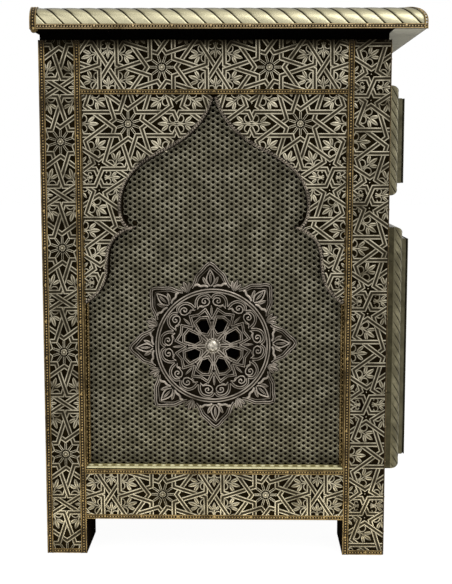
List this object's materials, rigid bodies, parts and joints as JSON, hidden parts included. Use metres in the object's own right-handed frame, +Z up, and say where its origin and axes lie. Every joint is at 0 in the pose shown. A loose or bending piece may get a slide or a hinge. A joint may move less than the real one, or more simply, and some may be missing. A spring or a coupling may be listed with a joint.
{
  "type": "nightstand",
  "caption": "Nightstand clad in embossed metal, with a drawer over a hinged door, cusped arches with medallions on its sides, and an overhanging top with grooved edges.",
  "frame": {"origin": "middle of the whole piece's footprint, on the floor", "axes": "+X to the right seen from the front, +Y from front to back, +Z up; the drawer opens towards -Y"},
  "size_m": [0.5044, 0.4284, 0.6],
  "materials": {
    "carcass_wood": "dark stained softwood, sawn faces",
    "inner_wood": "brown stained plywood",
    "dark_wood": "black-brown stained board",
    "guide_wood": "plain planed wood, waxed",
    "drawer_wood": "plain planed wood",
    "embossed_metal": "antiqued white-metal sheet, embossed, dark in the hollows",
    "spandrel_metal": "wooden board under embossed antiqued white-metal sheet",
    "punched_metal": "antiqued sheet with rows of punched dimples",
    "medallion_metal": "cast and pierced, antiqued",
    "edge_metal": "wood under polished pale metal, with slanting grooves",
    "moulding_metal": "wood under olive-toned metal, with slanting grooves",
    "front_metal": "wood under smooth olive-toned metal",
    "field_metal": "wood under embossed antiqued metal",
    "brass_strip": "beaded strip, golden with dark hollows",
    "hinge_brass": "satin, aged",
    "knob_brass": "turned, softly polished",
    "screw_steel": "zinc plated",
    "catch_plastic": "moulded, cream"
  },
  "bodies": {
    "cabinet": {"front_left_post": "carcass_wood", "front_right_post": "carcass_wood", "rear_left_post": "carcass_wood", "rear_right_post": "carcass_wood", "left_top_rail": "carcass_wood", "right_top_rail": "carcass_wood", "left_apron": "carcass_wood", "right_apron": "carcass_wood", "front_top_rail": "carcass_wood", "front_middle_rail": "carcass_wood", "front_bottom_rail": "carcass_wood", "back_rails": "carcass_wood", "top_board": "carcass_wood", "left_inner_board": "inner_wood", "right_inner_board": "inner_wood", "bottom_board": "inner_wood", "divider_board": "inner_wood", "left_side_board": "dark_wood", "right_side_board": "dark_wood", "back_panel": "dark_wood", "neck_board": "dark_wood", "drawer_runners": "guide_wood", "drawer_kickers": "guide_wood", "left_frame_sheets": "embossed_metal", "right_frame_sheets": "embossed_metal", "front_frame_sheets": "embossed_metal", "top_sheet": "embossed_metal", "left_front_spandrel": "spandrel_metal", "left_rear_spandrel": "spandrel_metal", "right_front_spandrel": "spandrel_metal", "right_rear_spandrel": "spandrel_metal", "left_punched_sheet": "punched_metal", "right_punched_sheet": "punched_metal", "left_medallion": "medallion_metal", "right_medallion": "medallion_metal", "top_front_moulding": "edge_metal", "top_left_moulding": "edge_metal", "top_right_moulding": "edge_metal", "top_strips": "brass_strip", "left_strips": "brass_strip", "right_strips": "brass_strip", "front_strips": "brass_strip", "post_hinge_leaves": "hinge_brass", "hinge_pins": "hinge_brass", "door_catch": "catch_plastic"},
    "drawer": {"drawer_front": "front_metal", "drawer_moulding": "moulding_metal", "drawer_field": "field_metal", "drawer_sides": "drawer_wood", "drawer_back": "drawer_wood", "drawer_bottom": "drawer_wood", "drawer_knob": "knob_brass", "drawer_knob_screw": "screw_steel"},
    "door": {"door_board": "front_metal", "door_moulding": "moulding_metal", "door_field": "field_metal", "door_hinge_leaves": "hinge_brass", "door_knob": "knob_brass", "door_knob_screw": "screw_steel", "door_strike": "screw_steel"}
  },
  "joints": [
    {"name": "drawer_slide", "type": "slide", "parent": "cabinet", "child": "drawer", "axis": [0, -1, 0], "range_m": [0, 0.24]},
    {"name": "door_hinge", "type": "hinge", "parent": "cabinet", "child": "door", "pos_m": [-0.1595, -0.16985, 0.09], "axis": [0, 0, -1], "range_deg": [0, 100]}
  ]
}
